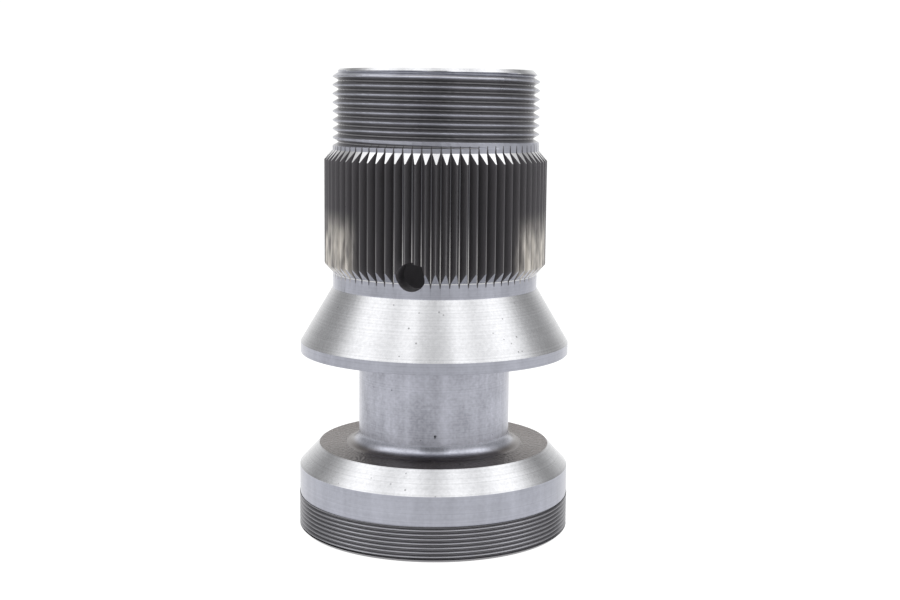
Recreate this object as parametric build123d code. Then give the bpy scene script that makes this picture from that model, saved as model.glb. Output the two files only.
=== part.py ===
from build123d import *
import os
from math import atan, cos, degrees, radians, tan

# One-piece turned steel hub.  A cap thread and a serrated spigot stand above a conical seat;
# a slim neck joins them to a threaded base flange.  Millimetres, +Z up, origin at the centre
# of the flat base face, so the part stands on the plane z = 0.  The side that carries the
# cross hole faces -Y; turns about the axis are counted in degrees round from -Y towards +X.

os.makedirs("parts", exist_ok=True)

# ---- base flange --------------------------------------------------------------------
FLANGE_THREAD_DIA = 64.0     # fine thread for the bearing nut, left plain over its crests
FLANGE_BAND_DIA = 63.8       # plain ground band above that thread
FLANGE_CONE_DIA = 54.5       # small end of the back cone, where the flat top begins
FLANGE_THREAD_TOP = 8.2      # heights above the base face
FLANGE_BAND_TOP = 14.9
FLANGE_TOP = 19.9
BASE_CHAMFER = 0.6           # 45 degree edge break round the base face

# ---- neck ---------------------------------------------------------------------------
NECK_DIA = 35.7
NECK_FOOT_FILLET = 3.0       # polished radius between the neck and the flange
NECK_HEAD_CHAMFER = 1.2      # 45 degree corner under the rim of the seat

# ---- conical seat -------------------------------------------------------------------
RIM_DIA = 63.2               # plain rim at the wide end of the seat
RIM_BOTTOM = 42.0
RIM_TOP = 44.5
RIM_EDGE = 0.2               # edge break under the rim
SEAT_TOP = 57.3              # narrow end of the seat, where the collar begins

# ---- serrated spigot ----------------------------------------------------------------
COLLAR_DIA = 48.0            # collar below the teeth; the land above them is the same
TOOTH_DIA = 51.9             # over the tooth crests
TOOTH_FOOT = 60.8            # the lower chamfer rises from the collar here
TOOTH_BOTTOM = 63.0          # the crests run from here
TOOTH_TOP = 87.0             # to here
TOOTH_HEAD = 89.3            # the upper chamfer meets the land here
TOOTH_COUNT = 71
TOOTH_TURN = 0.25            # turn of the tooth that faces front
GROOVE_ROOT_DIA = 47.5       # floor of the grooves, a little under the collar's surface
GROOVE_FLOOR = 0.22          # width of that narrow floor
GROOVE_ANGLE = 46.0          # included angle of the vee between two teeth
FADE_BELOW = 1.0             # the grooves fade out over this length below the teeth
FADE_ABOVE = 1.6             # and over this length above them

# ---- cap thread, left hand ----------------------------------------------------------
OVERALL_HEIGHT = 107.7
CAP_THREAD_DIA = COLLAR_DIA
CAP_THREAD_PITCH = 2.0
CAP_THREAD_ANGLE = 60.0      # included angle of the thread
CAP_THREAD_FLAT = CAP_THREAD_PITCH / 8
CAP_LEAD_CHAMFER = 1.6       # 45 degree lead-in at the free end
CAP_ROOT_HEIGHT = 90.75      # the lowest thread root stands this high at the front
FADE_TURN = -85.0            # the lowest root starts to rise out of the metal here
FADE_SWEEP = 119.0           # and is out of it this many degrees further round
FADE_LAP = 1.0               # the full groove runs on this far into the fading one

# ---- bores --------------------------------------------------------------------------
OUTER_BEARING_DIA = 35.0     # bearing seat in the spigot
OUTER_BEARING_SHOULDER = 52.0
INNER_BEARING_DIA = 47.0     # bearing seat in the flange
INNER_BEARING_DEPTH = 13.0
THROUGH_BORE_DIA = 25.0      # clearance for the shaft
BORE_CHAMFER = 0.6

# ---- cross hole ---------------------------------------------------------------------
CROSS_HOLE_DIA = 6.5
CROSS_HOLE_HEIGHT = 62.2
CROSS_HOLE_TURN = -12.6

# ---- cutting clearances -------------------------------------------------------------
OVERRUN = 1.0                # how far a cutter stands clear of the metal
THREAD_OVERRUN = 0.15        # the same for the thread, where turns must not meet
FADE_CLEARANCE = 0.03        # how far a fading groove runs on after it leaves the metal


def revolved(points):
    """Solid of revolution about Z from (radius, height) corners that close on the axis."""
    with BuildPart() as solid:
        with BuildSketch(Plane.XZ):
            with BuildLine():
                Polyline(*points, close=True)
            make_face()
        revolve(axis=Axis.Z)
    return solid.part


def turned_blank():
    """Flange, neck, seat and spigot as they leave the lathe, up to the head of the teeth."""
    thread_r = FLANGE_THREAD_DIA / 2
    band_r = FLANGE_BAND_DIA / 2
    neck_r = NECK_DIA / 2
    rim_r = RIM_DIA / 2
    with BuildPart() as blank:
        with BuildSketch(Plane.XZ) as section:
            with BuildLine():
                Polyline(
                    (0, 0),
                    (thread_r - BASE_CHAMFER, 0),
                    (thread_r, BASE_CHAMFER),
                    (thread_r, FLANGE_THREAD_TOP),
                    (band_r, FLANGE_THREAD_TOP),
                    (band_r, FLANGE_BAND_TOP),
                    (FLANGE_CONE_DIA / 2, FLANGE_TOP),
                    (neck_r, FLANGE_TOP),
                    (neck_r, RIM_BOTTOM - NECK_HEAD_CHAMFER),
                    (neck_r + NECK_HEAD_CHAMFER, RIM_BOTTOM),
                    (rim_r - RIM_EDGE, RIM_BOTTOM),
                    (rim_r, RIM_BOTTOM + RIM_EDGE),
                    (rim_r, RIM_TOP),
                    (COLLAR_DIA / 2, SEAT_TOP),
                    (COLLAR_DIA / 2, TOOTH_FOOT),
                    (TOOTH_DIA / 2, TOOTH_BOTTOM),
                    (TOOTH_DIA / 2, TOOTH_TOP),
                    (COLLAR_DIA / 2, TOOTH_HEAD),
                    (0, TOOTH_HEAD),
                    close=True,
                )
            make_face()
            foot = section.vertices().sort_by_distance((neck_r, FLANGE_TOP, 0))[0]
            fillet(foot, NECK_FOOT_FILLET)
        revolve(axis=Axis.Z)
    return blank.part


def thread_depth():
    """Depth of a vee thread with equal flats on its crest and in its root."""
    slopes = CAP_THREAD_PITCH - 2 * CAP_THREAD_FLAT
    return slopes / 2 / tan(radians(CAP_THREAD_ANGLE / 2))


def root_height(turn):
    """Height of the lowest thread root at a turn; it falls as the turn grows, left hand."""
    return CAP_ROOT_HEIGHT - CAP_THREAD_PITCH * turn / 360


def thread_cutter(path):
    """Sweep the thread's vee along a helix that follows the floor of the groove."""
    reach = thread_depth() + THREAD_OVERRUN
    floor = CAP_THREAD_FLAT / 2
    mouth = floor + reach * tan(radians(CAP_THREAD_ANGLE / 2))
    with BuildSketch(Plane(origin=path @ 0, x_dir=(1, 0, 0), z_dir=path % 0)) as vee:
        with BuildLine():
            Polyline((0, -floor), (reach, -mouth), (reach, mouth), (0, floor), close=True)
        make_face()
    return sweep(vee.sketch.faces()[0], path=path, is_frenet=True)


def threaded_end():
    """Free end above the teeth: plain land, left-hand vee thread and 45 degree lead-in.

    The groove is cut at full depth down to the last turn.  There the tool is drawn back
    evenly, on a conical helix, so the groove grows shallow and dies out on the land.
    """
    cap_r = CAP_THREAD_DIA / 2
    height = OVERALL_HEIGHT - TOOTH_HEAD
    blank = Cylinder(cap_r, height + 2 * CAP_THREAD_PITCH, align=(Align.CENTER, Align.CENTER, Align.MIN))
    blank = blank.translate((0, 0, TOOTH_HEAD))

    full_turn = FADE_TURN + FADE_LAP
    full_height = root_height(full_turn)
    run = OVERALL_HEIGHT + CAP_THREAD_PITCH - full_height
    full = Helix(CAP_THREAD_PITCH, run, cap_r - thread_depth(), lefthand=True)
    groove = thread_cutter(full).rotate(Axis.Z, full_turn - 90).translate((0, 0, full_height))

    end_turn = FADE_TURN + FADE_SWEEP
    fall = root_height(FADE_TURN) - root_height(end_turn)
    slope = degrees(atan((thread_depth() + FADE_CLEARANCE) / fall))
    conical = Helix(
        CAP_THREAD_PITCH / cos(radians(slope)),
        fall,
        cap_r + FADE_CLEARANCE,
        cone_angle=-slope,
        lefthand=True,
    )
    fade = thread_cutter(conical).rotate(Axis.Z, end_turn - 90)
    fade = fade.translate((0, 0, root_height(end_turn)))

    lead_in = revolved(
        [
            (0, TOOTH_HEAD - OVERRUN),
            (cap_r + OVERRUN, TOOTH_HEAD - OVERRUN),
            (cap_r + OVERRUN, OVERALL_HEIGHT - CAP_LEAD_CHAMFER - OVERRUN),
            (cap_r - CAP_LEAD_CHAMFER, OVERALL_HEIGHT),
            (0, OVERALL_HEIGHT),
        ]
    )
    return (blank - groove - fade) & lead_in


def bore_cutter():
    """Stepped bore through the axis, with its edges broken at both mouths and shoulders."""
    outer_r = OUTER_BEARING_DIA / 2
    inner_r = INNER_BEARING_DIA / 2
    shaft_r = THROUGH_BORE_DIA / 2
    edge = BORE_CHAMFER
    return revolved(
        [
            (0, -OVERRUN),
            (inner_r + edge + OVERRUN, -OVERRUN),
            (inner_r, edge),
            (inner_r, INNER_BEARING_DEPTH),
            (shaft_r + edge, INNER_BEARING_DEPTH),
            (shaft_r, INNER_BEARING_DEPTH + edge),
            (shaft_r, OUTER_BEARING_SHOULDER - edge),
            (shaft_r + edge, OUTER_BEARING_SHOULDER),
            (outer_r, OUTER_BEARING_SHOULDER),
            (outer_r, OVERALL_HEIGHT - edge),
            (outer_r + edge + OVERRUN, OVERALL_HEIGHT + OVERRUN),
            (0, OVERALL_HEIGHT + OVERRUN),
        ]
    )


def groove_cutter():
    """One vee groove between two teeth, on the +X side.

    It runs parallel to the axis at full depth past both chamfers, then rises out of the
    collar below and the land above, as a cutter that is drawn back leaves it.
    """
    root_r = GROOVE_ROOT_DIA / 2
    reach = TOOTH_DIA / 2 + OVERRUN - root_r
    floor = GROOVE_FLOOR / 2
    mouth = floor + reach * tan(radians(GROOVE_ANGLE / 2))

    def vee(height):
        with BuildSketch(Plane.XY.offset(height)) as section:
            with BuildLine():
                Polyline(
                    (root_r, -floor),
                    (root_r + reach, -mouth),
                    (root_r + reach, mouth),
                    (root_r, floor),
                    close=True,
                )
            make_face()
        return section.sketch.faces()[0]

    rise = COLLAR_DIA / 2 - root_r + FADE_CLEARANCE
    down = Vector(rise, 0, -FADE_BELOW)
    up = Vector(rise, 0, FADE_ABOVE)
    middle = extrude(vee(TOOTH_FOOT), amount=TOOTH_HEAD - TOOTH_FOOT, dir=(0, 0, 1))
    below = extrude(vee(TOOTH_FOOT), amount=down.length, dir=down.normalized())
    above = extrude(vee(TOOTH_HEAD), amount=up.length, dir=up.normalized())
    return middle + below + above


def serration_cutters():
    """All the grooves, evenly spaced, with a tooth at the front of the part."""
    groove = groove_cutter()
    step = 360 / TOOTH_COUNT
    first = TOOTH_TURN + step / 2 - 90
    return [groove.rotate(Axis.Z, first + step * i) for i in range(TOOTH_COUNT)]


def cross_hole_cutter():
    """Radial hole through one wall of the spigot, at the foot of the teeth, into the bore."""
    reach = TOOTH_DIA / 2 + OVERRUN
    hole = Cylinder(CROSS_HOLE_DIA / 2, reach, align=(Align.CENTER, Align.CENTER, Align.MIN))
    hole = hole.rotate(Axis.Y, 90).rotate(Axis.Z, CROSS_HOLE_TURN - 90)
    return hole.translate((0, 0, CROSS_HOLE_HEIGHT))


hub = turned_blank() + threaded_end()
hub = hub - bore_cutter()
hub = hub - serration_cutters()
hub = hub - cross_hole_cutter()
export_step(hub, "parts/hub.step")
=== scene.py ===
"""A turned steel hub with a serrated spigot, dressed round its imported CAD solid."""

import math

import bmesh
import bpy
import numpy as np
from mathutils import Matrix, Vector


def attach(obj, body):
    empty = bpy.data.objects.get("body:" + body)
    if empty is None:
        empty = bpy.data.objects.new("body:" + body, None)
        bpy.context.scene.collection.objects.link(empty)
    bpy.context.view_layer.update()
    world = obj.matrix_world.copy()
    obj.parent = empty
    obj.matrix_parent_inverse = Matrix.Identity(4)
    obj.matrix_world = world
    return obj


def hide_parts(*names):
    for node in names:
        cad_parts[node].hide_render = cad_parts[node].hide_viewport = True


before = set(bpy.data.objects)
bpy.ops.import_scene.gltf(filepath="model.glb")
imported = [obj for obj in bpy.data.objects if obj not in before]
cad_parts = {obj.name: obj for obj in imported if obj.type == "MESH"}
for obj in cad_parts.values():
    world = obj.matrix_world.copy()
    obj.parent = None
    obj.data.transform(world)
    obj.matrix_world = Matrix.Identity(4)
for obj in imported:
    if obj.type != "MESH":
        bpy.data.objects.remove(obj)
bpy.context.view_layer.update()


# ---- hub ---------------------------------------------------------------------------------
# One piece of steel turned from the bar: a flange with a fine thread, a slim neck, a ground
# cone, and a spigot on which 71 vee serrations are cut along the axis and a coarse left-hand
# thread round it.  It is bored from both ends, and a cross hole is drilled through its wall.

MM = 0.001

# Spigot: collar, serrations between two chamfers, land, cap thread and lead-in.
COLLAR_R = 24.0 * MM                   # collar, land and thread crests are one diameter
COLLAR_FOOT = 57.3 * MM
TOOTH_COUNT = 71
TOOTH_R = 25.95 * MM
TOOTH_FOOT = 60.8 * MM
FOOT_HIGHLIGHT = 0.2 * MM                   # a painted highlight: a bright line where the teeth end
TOOTH_BOTTOM = 63.0 * MM
TOOTH_TOP = 87.0 * MM
TOOTH_HEAD = 89.3 * MM
TOOTH_TURN = 0.25                      # degrees that the foremost tooth stands off the front
GROOVE_ROOT = 23.75 * MM               # floor of the vee, measured from the axis
GROOVE_HALF_FLOOR = 0.11 * MM
GROOVE_SLOPE = math.tan(math.radians(23.0))
LEAST_FLANK = 0.01 * MM                # flank left where a groove fades out
FADE_BELOW = 1.0 * MM
FADE_ABOVE = 1.6 * MM
THREAD_PITCH = 2.0 * MM
THREAD_HALF_FLAT = 0.125 * MM
THREAD_DEPTH = 1.299 * MM
THREAD_SLOPE = math.tan(math.radians(30.0))
THREAD_ROOT_HEIGHT = 90.60 * MM        # lowest root, at the front
THREAD_WORN = 0.06 * MM                # each crest corner is rubbed down by this much
WORN_SHARE = 0.3                       # but never by more than this share of the depth
THREAD_CREST_BAND = 2.6 * THREAD_WORN  # how far below the crests a face still counts as crest
THREAD_FADE_START = math.radians(-85.0)
THREAD_FADE_SWEEP = math.radians(119.0)
THREAD_GROOVES = range(-1, 10)         # whole turns above and below that root
END_HEIGHT = 107.7 * MM
LEAD_IN = 1.6 * MM
TEETH_STEPS = [1, 3, 1, 6, 4, 6]       # rows from each height of the teeth to the next
FADE_STEPS = 9
LEAD_IN_STEPS = 8

# One pitch of the serrations in eight columns, from the middle of a groove to the next:
# which point of the groove's section each column follows, and on which side of the groove.
SECTION_POINT = np.array([0, 1, 2, 3, 3, 3, 2, 1])
SECTION_SIDE = np.array([1, 1, 1, 1, 0, -1, -1, -1])
FLOOR_COLUMNS = [0, 7]
GROOVE_COLUMNS = [0, 1, 2, 5, 6, 7]
COLUMNS_A_TOOTH = 8


def steps(points, counts):
    """Heights from one named height to the next, each stretch cut into equal steps."""
    parts = [
        np.linspace(low, high, count, endpoint=False)
        for low, high, count in zip(points[:-1], points[1:], counts)
    ]
    return np.concatenate([*parts, points[-1:]])


def groove_floor(height):
    """Distance of a serration groove's floor from the axis: the root, and outwards in
    proportion to the height beyond either end of the teeth, until it leaves the metal."""
    below = np.clip((TOOTH_FOOT - height) / FADE_BELOW, 0, None)
    above = np.clip((height - TOOTH_HEAD) / FADE_ABOVE, 0, None)
    return GROOVE_ROOT + (below + above) * (COLLAR_R - GROOVE_ROOT)


def blank_radius(height):
    """Radius before any groove: collar, chamfer up to the teeth, teeth, chamfer, land,
    and the lead-in cone at the free end, by linear interpolation on height."""
    corners = [0, TOOTH_FOOT, TOOTH_BOTTOM, TOOTH_TOP, TOOTH_HEAD, END_HEIGHT - LEAD_IN, END_HEIGHT]
    radii = [COLLAR_R, COLLAR_R, TOOTH_R, TOOTH_R, COLLAR_R, COLLAR_R, COLLAR_R - LEAD_IN]
    return np.interp(height, corners, radii)


def thread_depth(turn, number):
    """Depth of one thread groove: full, but nothing below the lowest turn, where it falls
    to nothing in proportion to the angle run since the tool began to draw back."""
    fade = 1 - (turn - THREAD_FADE_START) / THREAD_FADE_SWEEP
    lowest = np.clip(fade, 0, 1)
    return THREAD_DEPTH * np.where(number > 0, 1.0, np.where(number == 0, lowest, 0.0))


def thread_root(turn, number):
    """Height of one thread root at a turn: it falls one pitch a turn, left hand."""
    return THREAD_ROOT_HEIGHT - THREAD_PITCH * turn / math.tau + THREAD_PITCH * number


def thread_radius(height, turn):
    """Radius that the thread leaves at a height and turn: the smallest of all its vees,
    each with its two crest corners rubbed down at 45 degrees."""
    radius = np.full(height.shape, np.inf)
    for number in THREAD_GROOVES:
        depth = thread_depth(turn, number)
        away = np.abs(height - thread_root(turn, number)) - THREAD_HALF_FLAT
        vee = COLLAR_R - depth + np.clip(away, 0, None) / THREAD_SLOPE
        inside = depth * THREAD_SLOPE + np.minimum(THREAD_WORN, WORN_SHARE * depth) - away
        vee = np.where(inside > 0, np.minimum(vee, COLLAR_R - inside), vee)
        radius = np.where(depth > 0, np.minimum(radius, vee), radius)
    return radius


def groove_edges(root, corner, worn, slope, half_flat, low, high):
    """Heights of one thread groove's edges below and above its root: floor edge, flank's
    end and worn crest corner, kept between two heights.  The flank ends where its line
    meets the 45 degree line of the worn corner."""
    flank_end = corner - worn / (1 / slope - 1)
    rows = []
    for offset in (half_flat, flank_end, corner + worn):
        rows.append(np.clip(root - offset, low, high))
        rows.append(np.clip(root + offset, low, high))
    return rows


def groove_section(height):
    """Angle and radius of the points that follow one groove and the tooth after it: middle
    of the floor, foot of the flank, half-way up, and crest edge.

    The flank is the line across = half floor + (out - floor) x slope, and the crest edge
    is where that line meets the circle of the blank: a quadratic in out.
    """
    floor = groove_floor(height)
    blank = blank_radius(height)
    base = GROOVE_HALF_FLOOR - floor * GROOVE_SLOPE
    a = 1 + GROOVE_SLOPE ** 2
    b = 2 * GROOVE_SLOPE * base
    c = base ** 2 - blank ** 2
    edge = (-b + np.sqrt(b ** 2 - 4 * a * c)) / (2 * a)
    floor = np.minimum(floor, np.sqrt(blank ** 2 - GROOVE_HALF_FLOOR ** 2))
    edge = np.maximum(edge, floor + LEAST_FLANK)
    out = [floor, floor, (floor + edge) / 2, edge]
    across = [0 * floor] + [GROOVE_HALF_FLOOR + (o - floor) * GROOVE_SLOPE for o in out[1:]]
    angle = [np.arctan2(y, x) for x, y in zip(out, across)]
    radius = [np.minimum(np.hypot(x, y), blank) for x, y in zip(out, across)]
    return angle, radius


def spigot_heights(turn):
    """Heights of the spigot's rows in every column: fixed ones up to the teeth's head, and
    above it the fixed ones and the edges of every thread groove, sorted together."""
    teeth = steps(
        np.array([COLLAR_FOOT, TOOTH_FOOT - FADE_BELOW, TOOTH_FOOT - FOOT_HIGHLIGHT, TOOTH_FOOT,
                  TOOTH_BOTTOM, TOOTH_TOP, TOOTH_HEAD]),
        TEETH_STEPS,
    )
    fade = steps(np.array([TOOTH_HEAD, TOOTH_HEAD + FADE_ABOVE]), [FADE_STEPS])[1:]
    lead_in = steps(np.array([END_HEIGHT - LEAD_IN, END_HEIGHT]), [LEAD_IN_STEPS])
    rows = [np.full(turn.shape, height) for height in np.concatenate([fade, lead_in])]
    for number in THREAD_GROOVES:
        depth = thread_depth(turn, number)
        rows += groove_edges(
            thread_root(turn, number), THREAD_HALF_FLAT + depth * THREAD_SLOPE,
            np.minimum(THREAD_WORN, WORN_SHARE * depth), THREAD_SLOPE, THREAD_HALF_FLAT,
            TOOTH_HEAD, END_HEIGHT,
        )
    lower = np.repeat(teeth[:, None], len(turn), axis=1)
    return np.concatenate([lower, np.sort(np.array(rows), axis=0)])


def spigot_grid():
    """Turn, radius, height and role of every point of the spigot: one row per height and
    eight columns per tooth.  The radius is the smallest of groove, thread and blank."""
    pitch = math.tau / TOOTH_COUNT
    tooth = np.repeat(np.arange(TOOTH_COUNT), COLUMNS_A_TOOTH)
    role = np.tile(np.arange(COLUMNS_A_TOOTH), TOOTH_COUNT)
    first_groove = math.radians(TOOTH_TURN) + pitch / 2
    centre = first_groove + pitch * (tooth - (TOOTH_COUNT + 1) // 2)
    angle, _ = groove_section(np.array([TOOTH_HEAD]))
    half = [angle[0][0], angle[1][0], angle[2][0], angle[3][0]]
    offsets = np.array(half + [pitch / 2, pitch - half[3], pitch - half[2], pitch - half[1]])
    turn = centre + offsets[role]
    turn = np.append(turn, turn[0] + math.tau)
    centre = np.append(centre, centre[0] + math.tau)
    role = np.append(role, role[0])

    height = spigot_heights(turn)
    angle, radius = groove_section(height)
    side = SECTION_SIDE[role]
    own_angle = np.choose(SECTION_POINT[role], angle)
    own_radius = np.choose(SECTION_POINT[role], radius)
    final = centre + np.where(side < 0, pitch, 0) + side * own_angle
    final = np.where(side == 0, centre + pitch / 2, final)
    own_radius = np.where(side == 0, blank_radius(height), own_radius)
    own_radius = np.minimum(own_radius, thread_radius(height, final))
    own_radius = np.minimum(own_radius, blank_radius(height))
    return final, own_radius, height, role


def on_axis(turn, radius, height):
    """Points in space of turns, radii and heights: x = sin x radius, y = -cos x radius."""
    return np.stack([np.sin(turn) * radius, -np.cos(turn) * radius, height], axis=-1)


spigot_turn, spigot_r, spigot_z, spigot_role = spigot_grid()
spigot_points = on_axis(spigot_turn, spigot_r, spigot_z)

# Flange, neck, cone and the stepped bore, all plain turning, in rings of equal columns.
COLUMNS = 240
BASE_CHAMFER = 0.6 * MM
BASE_RING_R = 27.5 * MM                # a ring of points on the flat base face
FLANGE_R = 32.0 * MM
BAND_R = 31.9 * MM
BAND_TOP = 14.9 * MM
FLANGE_TOP = 19.9 * MM
FLANGE_TOP_R = 27.25 * MM
NECK_R = 17.85 * MM
FOOT_FILLET = 3.0 * MM
FILLET_STEPS = 8
NECK_CORNER = 1.2 * MM                 # 45 degree corner under the rim
RIM_R = 31.6 * MM
RIM_BOTTOM = 42.0 * MM
RIM_TOP = 44.5 * MM
RIM_EDGE = 0.05 * MM
SEAM_STEP = 0.03 * MM                  # the cone's last ring stands this far off the collar
OUTER_BEARING_R = 17.5 * MM
OUTER_SHOULDER = 52.0 * MM
SHAFT_BORE_R = 12.5 * MM
INNER_BEARING_R = 23.5 * MM
INNER_SHOULDER = 13.0 * MM
BORE_CHAMFER = 0.6 * MM
FINE_PITCH = 1.0 * MM
FINE_ROOT_HEIGHT = 1.70 * MM           # a root of the fine thread, at the front
FINE_DEPTH = 0.55 * MM
FINE_HALF_FLAT = 0.06 * MM
FINE_SLOPE = math.tan(math.radians(33.0))
FINE_WORN = 0.04 * MM
FINE_CREST_BAND = 2.9 * FINE_WORN
FINE_TOP = 8.2 * MM
FINE_GROOVES = range(-3, 9)

# Finishes, in the order of the hub's materials.
(TURNED, GROUND, FLANK, CREST, FACET, THREAD, FOOT, FINE, BORE, DRILLED, FLOOR, NECK, FINE_CREST,
 TOP) = range(14)


def fine_grid(turn):
    """Rows of the fine thread: the edges of every groove, sorted in each column, with the
    radius as the smallest of all the vees, which rise one pitch a turn, right hand."""
    rows = []
    roots = []
    corner = FINE_HALF_FLAT + FINE_DEPTH * FINE_SLOPE
    for number in FINE_GROOVES:
        root = FINE_ROOT_HEIGHT + FINE_PITCH * (turn / math.tau + number)
        roots.append(root)
        rows += groove_edges(
            root, corner, FINE_WORN, FINE_SLOPE, FINE_HALF_FLAT, BASE_CHAMFER, FINE_TOP
        )
    height = np.sort(np.array(rows), axis=0)
    radius = np.full(height.shape, FLANGE_R)
    for root in roots:
        away = np.abs(height - root)
        vee = FLANGE_R - FINE_DEPTH + np.clip(away - FINE_HALF_FLAT, 0, None) / FINE_SLOPE
        rubbed = FLANGE_R - np.clip(corner + FINE_WORN - away, 0, None)
        radius = np.minimum(radius, np.minimum(vee, rubbed))
    return radius, height


def stretch(start, end, count=1):
    """Points of an outline from one corner towards the next in equal steps, the next corner
    left out."""
    return np.linspace(start, end, count, endpoint=False)


def bore_outline():
    """Corners as (radius, height) from the end face down the stepped bore and out over the
    base face to the foot of the fine thread."""
    return np.array([
        (OUTER_BEARING_R + BORE_CHAMFER, END_HEIGHT),
        (OUTER_BEARING_R, END_HEIGHT - BORE_CHAMFER),
        (OUTER_BEARING_R, OUTER_SHOULDER),
        (SHAFT_BORE_R + BORE_CHAMFER, OUTER_SHOULDER),
        (SHAFT_BORE_R, OUTER_SHOULDER - BORE_CHAMFER),
        (SHAFT_BORE_R, INNER_SHOULDER + BORE_CHAMFER),
        (SHAFT_BORE_R + BORE_CHAMFER, INNER_SHOULDER),
        (INNER_BEARING_R, INNER_SHOULDER),
        (INNER_BEARING_R, BORE_CHAMFER),
        (INNER_BEARING_R + BORE_CHAMFER, 0.0),
        (BASE_RING_R, 0.0),
        (FLANGE_R - BASE_CHAMFER, 0.0),
        (FLANGE_R, BASE_CHAMFER),
    ])


def outside_outline():
    """Corners as (radius, height) from the top of the fine thread up to the collar's foot,
    and the finish of each step from one corner to the next.  The fillet at the neck's foot
    is a quarter circle: radius = centre - r sin a, height = centre - r cos a."""
    a = np.linspace(0, math.pi / 2, FILLET_STEPS, endpoint=False)
    fillet = np.stack(
        [NECK_R + FOOT_FILLET * (1 - np.sin(a)), FLANGE_TOP + FOOT_FILLET * (1 - np.cos(a))], axis=-1
    )
    cone_slope = (RIM_R - COLLAR_R) / (COLLAR_FOOT - RIM_TOP)
    thread_end = (FLANGE_R, FINE_TOP)
    band_foot = (BAND_R, FINE_TOP)
    band_top = (BAND_R, BAND_TOP)
    top_edge = (FLANGE_TOP_R, FLANGE_TOP)
    fillet_foot = (NECK_R + FOOT_FILLET, FLANGE_TOP)
    neck_foot = (NECK_R, FLANGE_TOP + FOOT_FILLET)
    neck_head = (NECK_R, RIM_BOTTOM - NECK_CORNER)
    under_rim = (NECK_R + NECK_CORNER, RIM_BOTTOM)
    rim_edge = (RIM_R - RIM_EDGE, RIM_BOTTOM)
    rim_foot = (RIM_R, RIM_BOTTOM + RIM_EDGE)
    rim_head = (RIM_R, RIM_TOP)
    cone_end = (COLLAR_R + SEAM_STEP, COLLAR_FOOT - SEAM_STEP / cone_slope)
    stretches = [
        (TURNED, stretch(thread_end, band_foot)),
        (TURNED, stretch(band_foot, band_top, 2)),
        (GROUND, stretch(band_top, top_edge, 2)),
        (TOP, stretch(top_edge, fillet_foot, 2)),
        (FOOT, fillet),
        (NECK, stretch(neck_foot, neck_head, 3)),
        (NECK, stretch(neck_head, under_rim)),
        (TURNED, stretch(under_rim, rim_edge, 2)),
        (TURNED, stretch(rim_edge, rim_foot)),
        (TURNED, stretch(rim_foot, rim_head)),
        (GROUND, stretch(rim_head, cone_end, 3)),
    ]
    corners = np.concatenate([points for _, points in stretches] + [[cone_end]])
    finishes = np.concatenate([np.full(len(points), finish) for finish, points in stretches])
    return corners, finishes


def ringed(corners, turn):
    """An outline carried round the axis: every row keeps its radius and height."""
    shape = (len(corners), len(turn))
    return np.broadcast_to(corners[:, :1], shape), np.broadcast_to(corners[:, 1:], shape)


low_turn = spigot_turn[0, 0] + np.linspace(0, math.tau, COLUMNS + 1)
bore_corners = bore_outline()
outside_corners, outside_finish = outside_outline()
bore_r, bore_z = ringed(bore_corners, low_turn)
fine_r, fine_z = fine_grid(low_turn)
outside_r, outside_z = ringed(outside_corners, low_turn)
low_r = np.concatenate([bore_r, fine_r, outside_r])
low_z = np.concatenate([bore_z, fine_z, outside_z])
low_points = on_axis(low_turn, low_r, low_z)


# Faces: two grids that are one surface, sewn along the end face and the collar's foot.
def grid_faces(first, shape):
    """Quads between neighbouring rows and columns of a grid whose points start at first."""
    index = first + np.arange(shape[0] * shape[1]).reshape(shape)
    corners = [index[:-1, :-1], index[:-1, 1:], index[1:, 1:], index[1:, :-1]]
    return np.stack(corners, axis=-1)


def sewn(first_a, turn_a, first_b, turn_b):
    """Triangles between two rings that start at one turn: both are walked together, and
    each step of one ring is joined to the point that the other has reached."""
    at_b = np.searchsorted(turn_b, turn_a[1:], side="right") - 1
    at_a = np.searchsorted(turn_a, turn_b[1:], side="left") - 1
    a = np.arange(len(turn_a) - 1)
    b = np.arange(len(turn_b) - 1)
    up = np.stack([first_a + a, first_a + a + 1, first_b + at_b], axis=-1)
    down = np.stack([first_b + b + 1, first_b + b, first_a + at_a], axis=-1)
    return np.concatenate([up, down])


low_first = spigot_turn.size
spigot_top = low_first - spigot_turn.shape[1]
cone_ring = low_first + low_r.size - len(low_turn)
spigot_faces = grid_faces(0, spigot_turn.shape)
low_faces = grid_faces(low_first, low_r.shape)
end_face = sewn(spigot_top, spigot_turn[-1], low_first, low_turn)
collar_seam = sewn(cone_ring, low_turn, 0, spigot_turn[0])


def spigot_finish():
    """Finish of every quad of the spigot, from its middle height, its place in the groove
    and how far the thread has cut it below the blank."""
    middle = (spigot_z[:-1, :-1] + spigot_z[1:, 1:]) / 2
    least = np.minimum(spigot_r[:-1, :-1], spigot_r[1:, 1:])
    threaded = least < np.minimum(COLLAR_R, blank_radius(middle)) - THREAD_CREST_BAND
    in_groove = np.isin(spigot_role[:-1], GROOVE_COLUMNS)
    on_floor = np.isin(spigot_role[:-1], FLOOR_COLUMNS)
    grooved = (middle > TOOTH_FOOT - FADE_BELOW) & (middle < TOOTH_HEAD + FADE_ABOVE)
    lead_in = middle > END_HEIGHT - LEAD_IN
    finish = np.full(middle.shape, TURNED)
    finish[(middle > TOOTH_BOTTOM) & (middle < TOOTH_TOP)] = CREST
    finish[(middle > TOOTH_TOP) & (middle < TOOTH_HEAD)] = FACET
    finish[lead_in & ~threaded] = GROUND
    finish[(middle > TOOTH_HEAD) & ~lead_in & threaded] = THREAD
    finish[grooved & in_groove] = FLANK
    finish[(middle > TOOTH_FOOT) & (middle < TOOTH_TOP) & on_floor] = FLOOR
    # the bright chamfer finish on the plain collar just below the teeth: a painted highlight line
    finish[(middle > TOOTH_FOOT - FOOT_HIGHLIGHT) & (middle < TOOTH_FOOT) & ~in_groove] = FACET
    return finish


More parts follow.
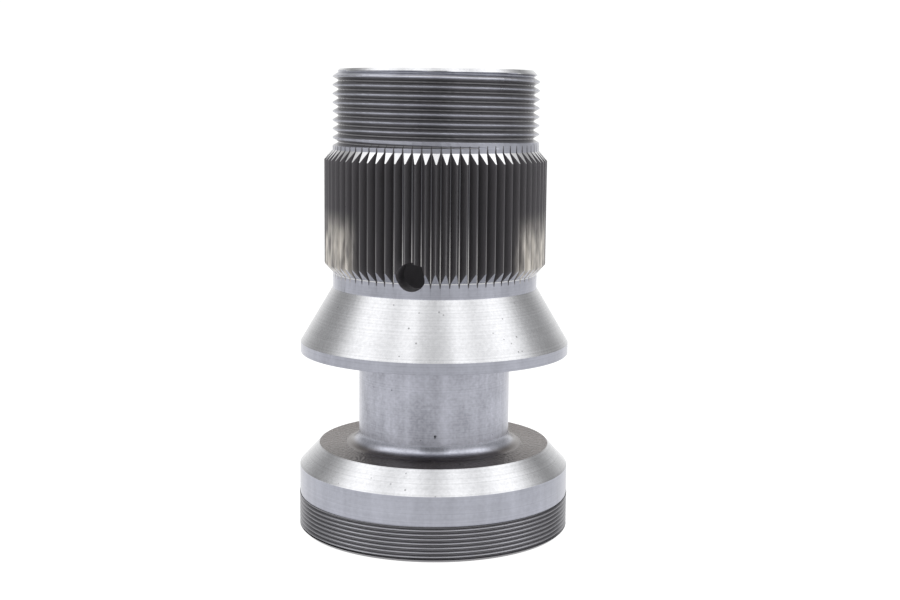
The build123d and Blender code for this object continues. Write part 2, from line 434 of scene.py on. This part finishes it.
def low_finish():
    """Finish of every quad below the cone's end: bore and base, fine thread with its
    crests apart, and the outside as its outline says."""
    first_fine = len(bore_corners) - 1
    first_outside = first_fine + 1 + len(fine_r)
    least = np.minimum(low_r[:-1], low_r[1:])[first_fine:first_outside, :-1]
    finish = np.full(low_faces.shape[:2], BORE)
    finish[first_fine:first_outside] = np.where(least < FLANGE_R - FINE_CREST_BAND, FINE, FINE_CREST)
    finish[first_outside:] = outside_finish[:, None]
    return finish


points = np.concatenate([spigot_points.reshape(-1, 3), low_points.reshape(-1, 3)])
quads = np.concatenate([spigot_faces.reshape(-1, 4), low_faces.reshape(-1, 4)])
triangles = np.concatenate([end_face, collar_seam])
finishes = np.concatenate([
    spigot_finish().ravel(), low_finish().ravel(),
    np.full(len(end_face), GROUND), np.full(len(collar_seam), TURNED),
])
mesh = bpy.data.meshes.new("hub_steel")
mesh.from_pydata(points.tolist(), [], quads.tolist() + triangles.tolist())
mesh.polygons.foreach_set("material_index", finishes)

# Patterns on the steel, as waves a metre along x, y and z.
RING_WAVES = (4.0, 4.0, 3400.0)
CLOUD_WAVES = (160.0, 160.0, 110.0)
GRAIN_WAVES = (1500.0, 1500.0, 1500.0)
STREAK_WAVES = (420.0, 420.0, 9.0)
# cloud of the painted warm reflection on the teeth
REFLECTION_WAVES = (900.0, 900.0, 150.0)
PLAIN_DETAIL = 2.0                     # finer layers in a pattern
STREAK_DETAIL = 3.0
CLOUD_DETAIL = 5.0
PITS_A_METRE = 300.0
PIT_EDGE = (0.03, 0.07)                # floor and rim of a pit, in pit spacings from its middle
MARK_EDGE = (0.5, 1.2)                 # the same of a mark, in its half sizes
MARK_DARKNESS = 0.55
CLOUD_ON_ROUGHNESS = 0.12
RELIEF_STRENGTH = 0.3
RELIEF_DEPTH = 0.02 * MM
QUARTER_TURN = 0.25                    # the highlight lies across the rings

# Painted warm reflection on the teeth: how ragged it is, and the distance sideways, the place
# from back to front and the height over which the painted reflection comes in.
REFLECTION_COLOUR = (0.80, 0.76, 0.70)
REFLECTION_CLOUD_RANGE = (0.35, 0.65)
REFLECTION_LEAST = 0.25
REFLECTION_ASIDE = (16.8 * MM, 20.4 * MM)
REFLECTION_FORWARD = (-2.0 * MM, -6.8 * MM)
REFLECTION_HEIGHT = (76.8 * MM, 66.8 * MM)

# Single marks, as (turn in degrees, radius, height, half width, half height) in mm.
RUST_SPOTS = [
    (-11.8, 27.49, 51.43, 0.24, 0.26),
    (39.0, 28.93, 48.99, 0.26, 0.28),
    (2.2, 25.47, 54.82, 0.22, 0.26),
    (-7.8, 29.24, 48.48, 0.22, 0.28),
    (37.2, 30.73, 45.97, 0.22, 0.24),
    (34.5, 26.61, 52.90, 0.18, 0.2),
    (31.8, 29.06, 48.77, 0.18, 0.2),
    (-14.3, 30.86, 45.75, 0.18, 0.2),
    (-57.7, 25.95, 54.01, 0.2, 0.2),
    (-11.5, 30.85, 16.03, 0.26, 0.26),
    (-18.2, 30.05, 16.89, 0.2, 0.2),
    (-12.5, 28.05, 19.03, 0.2, 0.2),
]
NECK_NICK = [
    (1.2, 17.85, 25.1, 0.40, 0.30),
    (0.9, 17.85, 24.85, 0.22, 0.50),
]
TURNED_COLOUR = (0.37, 0.378, 0.428)
FOOT_SHADE = (20.1 * MM, 21.2 * MM)    # painted dark brown reflection below, as on the flange's top, and bright above
CREST_SHADE = (64.0 * MM, 78.0 * MM)   # the tooth crests are painted paler low down than above: painted reflection
FLOOR_SHADE = (63.0 * MM, 78.0 * MM)   # and so are the floors between them


def feed(tree, socket, value):
    """Give a node's input a plain value or another node's result."""
    if isinstance(value, bpy.types.NodeSocket):
        tree.links.new(value, socket)
    else:
        socket.default_value = value


def arithmetic(tree, operation, *values):
    """One arithmetic node on plain values or other nodes' results."""
    node = tree.nodes.new("ShaderNodeMath")
    node.operation = operation
    for socket, value in zip(node.inputs, values):
        feed(tree, socket, value)
    return node.outputs[0]


def vector_arithmetic(tree, operation, *values):
    """One arithmetic node on vectors; its result is a vector, or a number for a length."""
    node = tree.nodes.new("ShaderNodeVectorMath")
    node.operation = operation
    for socket, value in zip(node.inputs, values):
        feed(tree, socket, value)
    return node.outputs["Value" if operation == "LENGTH" else "Vector"]


def carried(tree, value, start, end, low=0.0, high=1.0, curve="SMOOTHSTEP"):
    """A value's way from start to end as a way from low to high, held at both ends."""
    node = tree.nodes.new("ShaderNodeMapRange")
    node.interpolation_type = curve
    feed(tree, node.inputs["Value"], value)
    feed(tree, node.inputs["From Min"], start)
    feed(tree, node.inputs["From Max"], end)
    feed(tree, node.inputs["To Min"], low)
    feed(tree, node.inputs["To Max"], high)
    return node.outputs["Result"]


def blended(tree, share, under, over):
    """The colour under where the share is 0, the colour over where it is 1."""
    node = tree.nodes.new("ShaderNodeMix")
    node.data_type = "RGBA"
    feed(tree, node.inputs[0], share)
    feed(tree, node.inputs["A"], under)
    feed(tree, node.inputs["B"], over)
    return node.outputs["Result"]


def along_axes(tree, place):
    """The three coordinates of a place, by name."""
    split = tree.nodes.new("ShaderNodeSeparateXYZ")
    tree.links.new(place, split.inputs[0])
    return split.outputs


def cloudy(tree, place, waves, detail=PLAIN_DETAIL):
    """A noise between 0 and 1, stretched by its waves a metre along each axis."""
    stretched = tree.nodes.new("ShaderNodeMapping")
    feed(tree, stretched.inputs["Vector"], place)
    feed(tree, stretched.inputs["Scale"], waves)
    pattern = tree.nodes.new("ShaderNodeTexNoise")
    feed(tree, pattern.inputs["Vector"], stretched.outputs["Vector"])
    feed(tree, pattern.inputs["Scale"], 1.0)
    feed(tree, pattern.inputs["Detail"], detail)
    return pattern.outputs["Fac"]


def mark_shade(tree, place, mark):
    """Darkening of one mark: full in its middle, none past its edge.  The distance is the
    length of (place - middle) / half size, axis by axis."""
    turn, radius, height, across, along = mark
    angle = math.radians(turn)
    middle = (radius * MM * math.sin(angle), -radius * MM * math.cos(angle), height * MM)
    per_half_size = (1 / (across * MM), 1 / (across * MM), 1 / (along * MM))
    offset = vector_arithmetic(tree, "SUBTRACT", place, middle)
    share = vector_arithmetic(tree, "MULTIPLY", offset, per_half_size)
    away = vector_arithmetic(tree, "LENGTH", share)
    return carried(tree, away, *MARK_EDGE, -MARK_DARKNESS, 0.0)


def turned_steel(name, colour, roughness, rings=0.08, streaks=0.0, blotch=0.06, grain=0.06,
                 pits=0.0, anisotropic=0.75, metal=1.0, low_colour=None, shade=None,
                 grain_relief=0.0, marks=()):
    """Bare steel off the lathe: fine rings round the axis, streaks along it, faint blotches,
    a fine grain and a few small pits in its colour, and the rings in its relief too, with
    the grain beside them where it is coarse.  A low colour, where there is one, is painted
    reflection that gives way to the main one between the two heights of its shade.  Marks
    are single nicks and spots."""
    material = bpy.data.materials.new(name)
    material.use_nodes = True
    tree = material.node_tree
    shader = tree.nodes["Principled BSDF"]
    place = tree.nodes.new("ShaderNodeTexCoord").outputs["Object"]
    ring_noise = cloudy(tree, place, RING_WAVES)
    cloud = cloudy(tree, place, CLOUD_WAVES, CLOUD_DETAIL)
    grains = cloudy(tree, place, GRAIN_WAVES)
    rest = 1.0 - (rings + streaks + blotch + grain) / 2
    total = arithmetic(tree, "MULTIPLY_ADD", ring_noise, rings, rest)
    total = arithmetic(tree, "MULTIPLY_ADD", cloud, blotch, total)
    total = arithmetic(tree, "MULTIPLY_ADD", grains, grain, total)
    if streaks:
        streak_noise = cloudy(tree, place, STREAK_WAVES, STREAK_DETAIL)
        total = arithmetic(tree, "MULTIPLY_ADD", streak_noise, streaks, total)
    if pits:
        cells = tree.nodes.new("ShaderNodeTexVoronoi")
        feed(tree, cells.inputs["Scale"], PITS_A_METRE)
        feed(tree, cells.inputs["Vector"], place)
        pit = carried(tree, cells.outputs["Distance"], *PIT_EDGE, -pits, 0.0, curve="LINEAR")
        total = arithmetic(tree, "ADD", pit, total)
    for mark in marks:
        total = arithmetic(tree, "ADD", mark_shade(tree, place, mark), total)

    tint = tree.nodes.new("ShaderNodeVectorMath")
    tint.operation = "SCALE"
    feed(tree, tint.inputs["Scale"], total)
    feed(tree, tint.inputs[0], colour)
    if low_colour:
        risen = carried(tree, along_axes(tree, place)["Z"], *shade)
        feed(tree, tint.inputs[0], blended(tree, risen, (*low_colour, 1), (*colour, 1)))
    least_rough = roughness - CLOUD_ON_ROUGHNESS / 2
    rough = arithmetic(tree, "MULTIPLY_ADD", cloud, CLOUD_ON_ROUGHNESS, least_rough)
    relief = tree.nodes.new("ShaderNodeBump")
    feed(tree, relief.inputs["Strength"], RELIEF_STRENGTH)
    feed(tree, relief.inputs["Distance"], RELIEF_DEPTH)
    raised = arithmetic(tree, "MULTIPLY_ADD", grains, grain_relief, ring_noise)
    feed(tree, relief.inputs["Height"], raised)
    tangent = tree.nodes.new("ShaderNodeTangent")
    tangent.direction_type = "RADIAL"
    tangent.axis = "Z"
    feed(tree, shader.inputs["Base Color"], tint.outputs["Vector"])
    feed(tree, shader.inputs["Metallic"], metal)
    feed(tree, shader.inputs["Roughness"], rough)
    feed(tree, shader.inputs["Normal"], relief.outputs["Normal"])
    feed(tree, shader.inputs["Anisotropic"], anisotropic)
    feed(tree, shader.inputs["Anisotropic Rotation"], QUARTER_TURN)
    feed(tree, shader.inputs["Tangent"], tangent.outputs["Tangent"])
    return material


def with_painted_reflection(material):
    """A painted warm reflection low down on the teeth, left and right of the front, laid into
    the colour: its share is the product of a rise in the distance sideways, a fall towards the
    back, a fall in height, and a cloud stretched along the axis."""
    tree = material.node_tree
    colour_in = tree.nodes["Principled BSDF"].inputs["Base Color"]
    plain = colour_in.links[0].from_socket
    place = tree.nodes.new("ShaderNodeTexCoord").outputs["Object"]
    axes = along_axes(tree, place)
    cloud = cloudy(tree, place, REFLECTION_WAVES)
    amount = carried(tree, cloud, *REFLECTION_CLOUD_RANGE, REFLECTION_LEAST, curve="LINEAR")
    for value, ends in (
        (arithmetic(tree, "ABSOLUTE", axes["X"]), REFLECTION_ASIDE),
        (axes["Y"], REFLECTION_FORWARD),
        (axes["Z"], REFLECTION_HEIGHT),
    ):
        amount = arithmetic(tree, "MULTIPLY", amount, carried(tree, value, *ends))
    feed(tree, colour_in, blended(tree, amount, plain, (*REFLECTION_COLOUR, 1)))
    return material


for material in (
    turned_steel(
        "turned_steel", TURNED_COLOUR, roughness=0.30, rings=0.40, streaks=0.34, blotch=0.45, grain=0.24,
    ),
    turned_steel(
        "ground_steel", (0.46, 0.463, 0.476), roughness=0.24, rings=0.42, streaks=0.10, grain=0.30,
        pits=0.5, marks=RUST_SPOTS,
    ),
    # the serration flanks are painted dark: painted shade in the grooves, with the painted warm
    # reflection over it
    with_painted_reflection(turned_steel(
        "serration_flank_steel", (0.115, 0.110, 0.118), roughness=0.40, metal=0.5, anisotropic=0.0,
    )),
    # the tooth crests are painted dark, and paler low down: painted reflection, with the painted warm
    # reflection over it
    with_painted_reflection(turned_steel(
        "tooth_crest_steel", (0.098, 0.096, 0.102), roughness=0.30,
        low_colour=(0.185, 0.18, 0.185), shade=CREST_SHADE,
    )),
    turned_steel("chamfer_steel", (0.60, 0.60, 0.61), roughness=0.28),
    # the thread's grooves are painted darker than its crests: painted shade in the grooves
    turned_steel("thread_steel", (0.225, 0.222, 0.234), roughness=0.30, streaks=0.2, grain=0.3),
    # the fillet's lower part is painted dark brown: painted reflection of the rim's underside and the
    # neck
    turned_steel(
        "flange_foot_steel", TURNED_COLOUR, roughness=0.26, rings=0.25, grain=0.4, blotch=0.5,
        low_colour=(0.125, 0.110, 0.106), shade=FOOT_SHADE,
    ),
    # the fine thread's grooves are painted darker than its crests: painted shade in the grooves
    turned_steel("fine_thread_steel", (0.18, 0.178, 0.19), roughness=0.30),
    # the bore and the cross hole's wall are painted dark and dull: painted shade in the recesses
    turned_steel("bored_steel", (0.235, 0.228, 0.242), roughness=0.35, metal=0.4),
    turned_steel("drilled_steel", (0.125, 0.12, 0.13), roughness=0.50, metal=0.2),
    # the groove floors are painted dark above and pale low down: painted reflection
    turned_steel(
        "groove_floor_steel", (0.12, 0.12, 0.13), roughness=0.22,
        low_colour=(0.44, 0.43, 0.43), shade=FLOOR_SHADE,
    ),
    turned_steel(
        "neck_steel", (0.39, 0.396, 0.448), roughness=0.30, rings=0.50, streaks=0.60, blotch=0.9,
        grain=0.50, pits=0.6, marks=NECK_NICK,
    ),
    turned_steel("fine_crest_steel", (0.27, 0.27, 0.29), roughness=0.30),
    # the flange's top is painted dark brown: painted reflection of the rim's underside and the neck
    turned_steel(
        "flange_top_steel", (0.115, 0.098, 0.092), roughness=0.30, rings=0.30, grain=1.2, blotch=0.8,
        grain_relief=90.0,
    ),
):
    mesh.materials.append(material)

WELD_DISTANCE = 0.0001 * MM
welded = bmesh.new()
welded.from_mesh(mesh)
bmesh.ops.remove_doubles(welded, verts=welded.verts, dist=WELD_DISTANCE)
welded.to_mesh(mesh)
welded.free()
hub = bpy.data.objects.new("hub_steel", mesh)
bpy.context.scene.collection.objects.link(hub)

# Cross hole, drilled through the wall once the skin is closed.
HOLE_R = 3.25 * MM
HOLE_HEIGHT = 62.2 * MM
HOLE_TURN = math.radians(-12.6)
HOLE_START = 10.0 * MM                 # the drill runs between these distances from the axis
HOLE_END = 30.0 * MM
HOLE_SEGMENTS = 64
SHARP_FROM = math.radians(24.0)        # edges that turn by more than this stay sharp


def cutter_drum(radius, start, end, segments):
    """A closed drum between two points on a line: circles of one radius, capped flat."""
    axis = (end - start).normalized()
    turned = axis.to_track_quat("Z", "Y").to_matrix().to_4x4()
    drum = bmesh.new()
    bmesh.ops.create_cone(
        drum, cap_ends=True, segments=segments, radius1=radius, radius2=radius,
        depth=(end - start).length, matrix=Matrix.Translation((start + end) / 2) @ turned,
    )
    shape = bpy.data.meshes.new("cutter")
    drum.to_mesh(shape)
    drum.free()
    for material in mesh.materials:
        shape.materials.append(material)
    shape.polygons.foreach_set("material_index", np.full(len(shape.polygons), DRILLED))
    cutter = bpy.data.objects.new("cutter", shape)
    bpy.context.scene.collection.objects.link(cutter)
    return cutter


outwards = Vector((math.sin(HOLE_TURN), -math.cos(HOLE_TURN), 0.0))
level = Vector((0.0, 0.0, HOLE_HEIGHT))
cutter = cutter_drum(
    HOLE_R, level + outwards * HOLE_START, level + outwards * HOLE_END, HOLE_SEGMENTS
)
cut = hub.modifiers.new("cross_hole", "BOOLEAN")
cut.operation = "DIFFERENCE"
cut.material_mode = "INDEX"
cut.solver = "EXACT"
cut.object = cutter
drilled = bpy.data.meshes.new_from_object(hub.evaluated_get(bpy.context.evaluated_depsgraph_get()))
hub.modifiers.clear()
hub.data = drilled
bpy.data.objects.remove(cutter)
drilled.shade_smooth()
drilled.set_sharp_from_angle(angle=SHARP_FROM)
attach(hub, "root")
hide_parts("hub")


# ---- table -------------------------------------------------------------------------------
# A plain sheet of white paper under the part, lit a little from below near it.  Far out its
# glow becomes that of the tent's foot behind it, so that no edge shows between the two.

# Brightness of the tent's foot by the angle from the front, as (degrees, strength).
TENT_FOOT = [(0, 0.33), (17, 0.36), (22, 0.62), (132, 0.60), (154, 1.05), (180, 1.05)]
TENT_LIMIT = 2.5                       # the strength that a ramp's white stands for
HALF_TURN_DEGREES = 180
TABLE_HALF = 9.0
TABLE_ALBEDO = 0.15
TABLE_BOUNCE = 0.24                    # what the table throws back of the tent's light
PART_GLOW = 0.96                       # table brightness of its own beside the part
GLOW_FALLS = (0.15, 1.2)               # metres from the part over which that fades
GLOW_SHARES = (0.5, 1.0, 0.0)          # the glow reaches twice as far sideways as back


def ramp_round(tree, angle, stops):
    """Brightness over half a turn of an angle in radians, straight between the stops."""
    ramp = tree.nodes.new("ShaderNodeValToRGB")
    for number, (degrees, strength) in enumerate(stops):
        if number < 2:
            element = ramp.color_ramp.elements[number]
        else:
            element = ramp.color_ramp.elements.new(1.0)
        element.position = degrees / HALF_TURN_DEGREES
        grey = strength / TENT_LIMIT
        element.color = (grey, grey, grey, 1)
    feed(tree, ramp.inputs["Fac"], arithmetic(tree, "DIVIDE", angle, math.pi))
    return ramp.outputs["Color"]


def turn_from_front(tree, place, push=0.0):
    """The angle between the front and the way to a place, the same to the left and to the
    right: the arc tangent of |x| over -y + push."""
    axes = along_axes(tree, place)
    aside = arithmetic(tree, "ABSOLUTE", axes["X"])
    ahead = arithmetic(tree, "SUBTRACT", push, axes["Y"])
    return arithmetic(tree, "ARCTAN2", aside, ahead)


table_mesh = bpy.data.meshes.new("table")
table_corners = [
    (-TABLE_HALF, -TABLE_HALF, 0), (TABLE_HALF, -TABLE_HALF, 0),
    (TABLE_HALF, TABLE_HALF, 0), (-TABLE_HALF, TABLE_HALF, 0),
]
table_mesh.from_pydata(table_corners, [], [(0, 1, 2, 3)])
paper = bpy.data.materials.new("paper")
paper.use_nodes = True
sheet = paper.node_tree
on_sheet = sheet.nodes.new("ShaderNodeTexCoord").outputs["Object"]
foot_there = ramp_round(sheet, turn_from_front(sheet, on_sheet), TENT_FOOT)
foot_glow = arithmetic(sheet, "MULTIPLY_ADD", foot_there, TENT_LIMIT, -TABLE_BOUNCE)
from_part = vector_arithmetic(sheet, "MULTIPLY", on_sheet, GLOW_SHARES)
distance = vector_arithmetic(sheet, "LENGTH", from_part)
glow = carried(sheet, distance, *GLOW_FALLS, PART_GLOW, foot_glow)
surface = sheet.nodes["Principled BSDF"]
feed(sheet, surface.inputs["Base Color"], (TABLE_ALBEDO, TABLE_ALBEDO, TABLE_ALBEDO, 1))
feed(sheet, surface.inputs["Roughness"], 1.0)
feed(sheet, surface.inputs["Specular IOR Level"], 0.0)
feed(sheet, surface.inputs["Emission Color"], (1, 1, 1, 1))
feed(sheet, surface.inputs["Emission Strength"], glow)
table_mesh.materials.append(paper)
table = bpy.data.objects.new("table", table_mesh)
bpy.context.scene.collection.objects.link(table)


# ---- light -------------------------------------------------------------------------------
# A white tent all round: a darker foot, brighter at the back, and above it cloth panels lit
# from outside, brightest a little to each side of the front.

# Brightness of the panels by the angle from the middle one, as (degrees, strength).
TENT_PANELS = [
    (0, 1.5), (10, 2.3), (20, 1.65), (31, 2.3), (38, 2.2), (48, 0.95), (58, 0.42), (90, 0.5),
]
PANEL_PUSH = 1.0                       # how far behind the part the panels' fan is centred
FOOT_RISE = (0.22, 0.60)               # the foot gives way to the panels between these heights
FRONT_LIFT = 0.28                      # and so much higher straight in front
FRONT_HALF_WIDTH = (18, 30)            # degrees over which that lift ends

world = bpy.data.worlds.new("tent")
bpy.context.scene.world = world
world.use_nodes = True
tent = world.node_tree
way = tent.nodes.new("ShaderNodeTexCoord").outputs["Generated"]
round_foot = turn_from_front(tent, way)
lift_ends = [math.radians(degrees) for degrees in FRONT_HALF_WIDTH]
lift = carried(tent, round_foot, *lift_ends, FRONT_LIFT, 0.0, curve="LINEAR")
above_foot = arithmetic(tent, "SUBTRACT", along_axes(tent, way)["Z"], lift)
foot_light = ramp_round(tent, round_foot, TENT_FOOT)
panel_light = ramp_round(tent, turn_from_front(tent, way, PANEL_PUSH), TENT_PANELS)
tent_light = blended(tent, carried(tent, above_foot, *FOOT_RISE), foot_light, panel_light)
backdrop = tent.nodes["Background"]
feed(tent, backdrop.inputs["Color"], tent_light)
feed(tent, backdrop.inputs["Strength"], TENT_LIMIT)
bpy.context.scene.view_settings.view_transform = "Standard"


# ---- camera ------------------------------------------------------------------------------
# A long lens that stands in front of the part, a little below its free end, and looks
# eight degrees down, so the tops of the flange and of the cone both show.

CAMERA_PLACE = Vector((0.0, -0.331248, 0.101329))
CAMERA_YAW = math.radians(0.6263)      # to the right of the part's own front
CAMERA_PITCH = math.radians(8.1462)    # downwards
CAMERA_ROLL = math.radians(0.5322)
SENSOR_WIDTH = 36.0                    # millimetres, as the focal length
FOCAL_LENGTH = 56.4988
NEAREST_SEEN = 0.01
FARTHEST_SEEN = 50.0


def aimed(place, yaw, pitch, roll):
    """Matrix of a camera at a place: looks along +Y, turned by yaw, then down, then rolled."""
    look = Vector((
        math.sin(yaw) * math.cos(pitch), math.cos(yaw) * math.cos(pitch), -math.sin(pitch),
    ))
    right = Vector((math.cos(yaw), -math.sin(yaw), 0.0))
    up = right.cross(look)
    side = math.cos(roll) * right + math.sin(roll) * up
    top = -math.sin(roll) * right + math.cos(roll) * up
    turned = Matrix((side, top, -look)).transposed()
    return Matrix.Translation(place) @ turned.to_4x4()


lens = bpy.data.cameras.new("camera")
lens.sensor_width = SENSOR_WIDTH
lens.lens = FOCAL_LENGTH
lens.clip_start = NEAREST_SEEN
lens.clip_end = FARTHEST_SEEN
camera = bpy.data.objects.new("camera", lens)
camera.matrix_world = aimed(CAMERA_PLACE, CAMERA_YAW, CAMERA_PITCH, CAMERA_ROLL)
bpy.context.scene.collection.objects.link(camera)
bpy.context.scene.camera = camera
